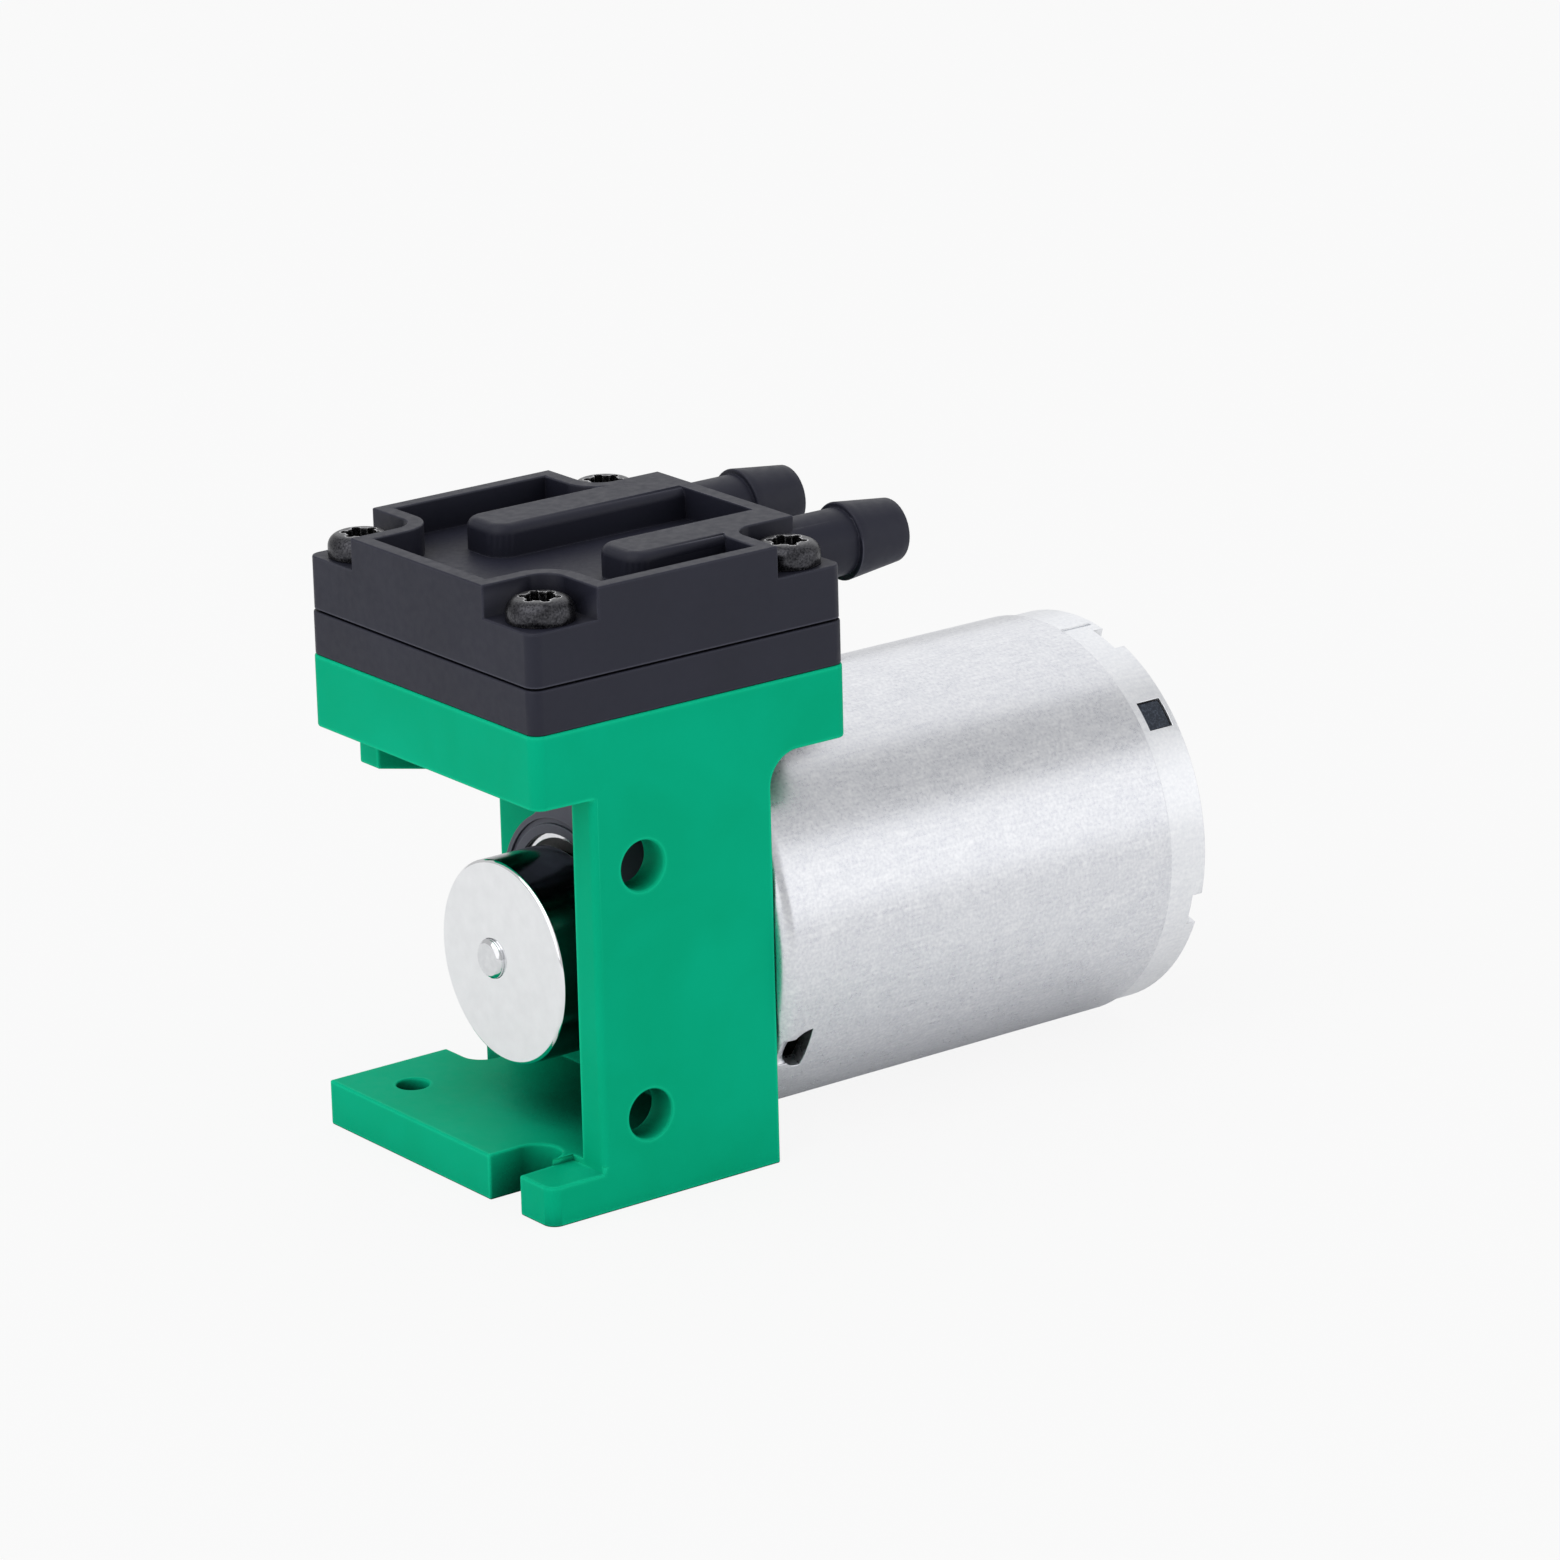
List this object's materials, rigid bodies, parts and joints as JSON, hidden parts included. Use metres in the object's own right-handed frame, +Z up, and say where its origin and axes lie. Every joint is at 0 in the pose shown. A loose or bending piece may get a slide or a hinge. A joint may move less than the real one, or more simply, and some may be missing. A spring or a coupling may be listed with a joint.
{
  "type": "mini vacuum pump",
  "caption": "Miniature diaphragm vacuum pump: moulded bracket and head with hose barbs, crank drive and a round can motor.",
  "frame": {"origin": "centre of the bounding box on the plane that the foot and the can stand on, below the motor axis", "axes": "+X along the motor axis from the crank to the motor's rear, +Z up towards the head, -Y towards the side wall with the two mounting holes"},
  "size_m": [0.0506, 0.024, 0.0359],
  "materials": {
    "green_plastic": "satin injection moulding",
    "black_plastic": "matt injection moulding",
    "motor_plastic": "matt injection moulding",
    "rod_plastic": "satin injection moulding",
    "black_rubber": "moulded rubber",
    "black_steel": "blackened",
    "plated_steel": "zinc plated, satin",
    "ground_steel": "ground",
    "bright_steel": "polished",
    "lamination_steel": "stacked laminations",
    "sintered_bronze": "sintered, oiled",
    "tinned_brass": "stamped",
    "copper": "turned copper",
    "copper_wire": "enamelled wire",
    "ferrite": "sintered ferrite",
    "carbon": "pressed carbon"
  },
  "bodies": {
    "pump_frame": {"bracket": "green_plastic", "valve_plate": "black_plastic", "top_cover": "black_plastic", "head_gasket": "black_rubber", "diaphragm": "black_rubber", "inlet_valve": "black_rubber", "outlet_valve": "black_rubber", "head_screws": "black_steel", "motor_can": "plated_steel", "motor_end_bell": "motor_plastic", "front_bush": "sintered_bronze", "rear_bush": "sintered_bronze", "magnets": "ferrite", "brushes": "carbon", "terminals": "tinned_brass", "motor_screws": "black_steel"},
    "rotor": {"motor_shaft": "bright_steel", "armature_core": "lamination_steel", "armature_windings": "copper_wire", "commutator": "copper", "eccentric": "ground_steel", "bearing_inner_race": "bright_steel"},
    "rod": {"connecting_rod": "rod_plastic", "bearing_outer_race": "bright_steel", "bearing_balls": "bright_steel", "bearing_shields": "black_rubber", "diaphragm_plate": "bright_steel", "plate_screw": "black_steel"}
  },
  "joints": [
    {"name": "rotor_spin", "type": "hinge", "parent": "pump_frame", "child": "rotor", "pos_m": [-0.0146, 0, 0.012], "axis": [1, 0, 0], "continuous": true},
    {"name": "rod_pivot", "type": "hinge", "parent": "rotor", "child": "rod", "pos_m": [-0.0146, 0, 0.01355], "axis": [1, 0, 0], "continuous": true, "deforming": ["diaphragm"]}
  ],
  "couplings": [
    {"joint": "rod_pivot", "follows": "rotor_spin", "ratio": -1}
  ]
}
